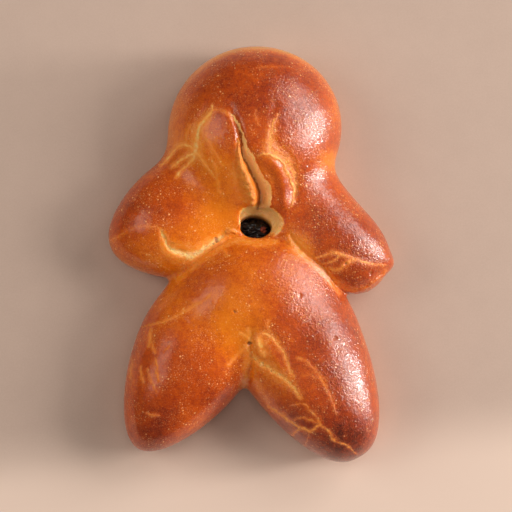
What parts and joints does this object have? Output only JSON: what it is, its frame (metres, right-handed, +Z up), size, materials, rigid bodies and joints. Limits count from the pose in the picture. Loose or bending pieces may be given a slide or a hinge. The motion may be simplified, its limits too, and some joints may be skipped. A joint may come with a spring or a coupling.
{
  "type": "brioche man",
  "caption": "Plump little man of glazed brioche dough with a slashed head and chest, stub arms and legs, and a raisin in the pocket at his waist.",
  "frame": {"origin": "middle of the outline in plan, on the flat base that lay on the baking tray", "axes": "+Y towards the head, +Z up out of the glazed face, +X towards the arm that is on the right when the face is seen with the head up"},
  "size_m": [0.1222, 0.1802, 0.043],
  "materials": {
    "crust": "baked egg glaze, glossy",
    "raisin": "dark wrinkled skin, glossy"
  },
  "bodies": {
    "root": {"brioche_man": "crust", "raisin": "raisin"}
  },
  "joints": []
}
